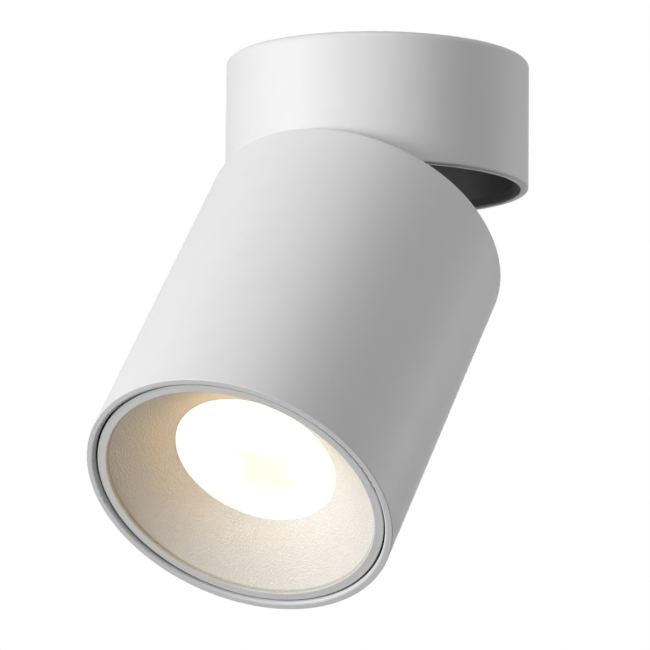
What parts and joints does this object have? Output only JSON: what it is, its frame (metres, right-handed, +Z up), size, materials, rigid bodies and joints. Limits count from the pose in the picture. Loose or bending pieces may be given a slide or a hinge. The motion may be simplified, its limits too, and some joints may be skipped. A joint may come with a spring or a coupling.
{
  "type": "spotlight",
  "caption": "Surface-mounted ceiling spotlight: a short round canopy and a cylindrical head of the same diameter that swivels and tilts on an offset hinge.",
  "frame": {"origin": "centre of the ceiling plate's upper face, which lies on the ceiling", "axes": "+Z up, square to the ceiling; the head's light end is turned towards +X at rest; the tilt pin is parallel to Y"},
  "size_m": [0.1687, 0.095, 0.1764],
  "materials": {
    "white_coat": "matte",
    "white_plastic": "matte",
    "black_alloy": "matte",
    "black_steel": "matte",
    "zinc_steel": "satin",
    "brass": "satin",
    "raw_alloy": "satin",
    "white_nylon": "matte",
    "black_rubber": "matte",
    "silicone": "matte",
    "circuit_board": "satin",
    "led_board": "satin",
    "mirror": "polished",
    "lit_lens": "satin"
  },
  "bodies": {
    "canopy": {"ceiling_plate": "zinc_steel", "cable_bush": "black_rubber", "earth_screw": "brass", "terminal_block": "white_nylon", "terminal_screws": "brass", "canopy_shell": "white_coat", "lock_screw": "zinc_steel", "carrier_plate": "zinc_steel", "carrier_screws": "zinc_steel", "swivel_bush": "white_nylon", "glide_washer": "white_nylon", "stop_pin": "zinc_steel"},
    "turntable": {"turntable_cup": "black_alloy", "swivel_stem": "zinc_steel", "swivel_spring": "zinc_steel", "swivel_nut": "zinc_steel", "hinge_bracket": "black_steel", "bracket_screws": "zinc_steel"},
    "head": {"head_yoke": "black_steel", "yoke_screws": "zinc_steel", "hinge_bolt": "zinc_steel", "friction_washers": "black_rubber", "hinge_springs": "zinc_steel", "hinge_nut": "zinc_steel", "head_tube": "white_coat", "rear_cover": "black_alloy", "cover_screws": "zinc_steel", "cable_gland": "black_rubber", "gland_nut": "black_rubber", "driver_case": "white_nylon", "driver_board": "circuit_board", "driver_lid": "white_nylon", "driver_screws": "zinc_steel", "heat_sink": "raw_alloy", "sink_screws": "zinc_steel", "thermal_pad": "silicone", "led_board": "led_board", "led_holder": "white_nylon", "holder_screws": "zinc_steel", "mirror_funnel": "mirror", "lens_gasket": "silicone", "lens": "lit_lens", "reflector_cone": "white_plastic", "front_ring": "white_coat", "ring_seal": "black_rubber"}
  },
  "joints": [
    {"name": "swivel", "type": "hinge", "parent": "canopy", "child": "turntable", "pos_m": [0, 0, -0.019], "axis": [0, 0, 1], "range_deg": [-175, 175]},
    {"name": "tilt", "type": "hinge", "parent": "turntable", "child": "head", "pos_m": [0.027, 0, -0.0328], "axis": [0, -1, 0], "range_deg": [-39, 16]}
  ]
}
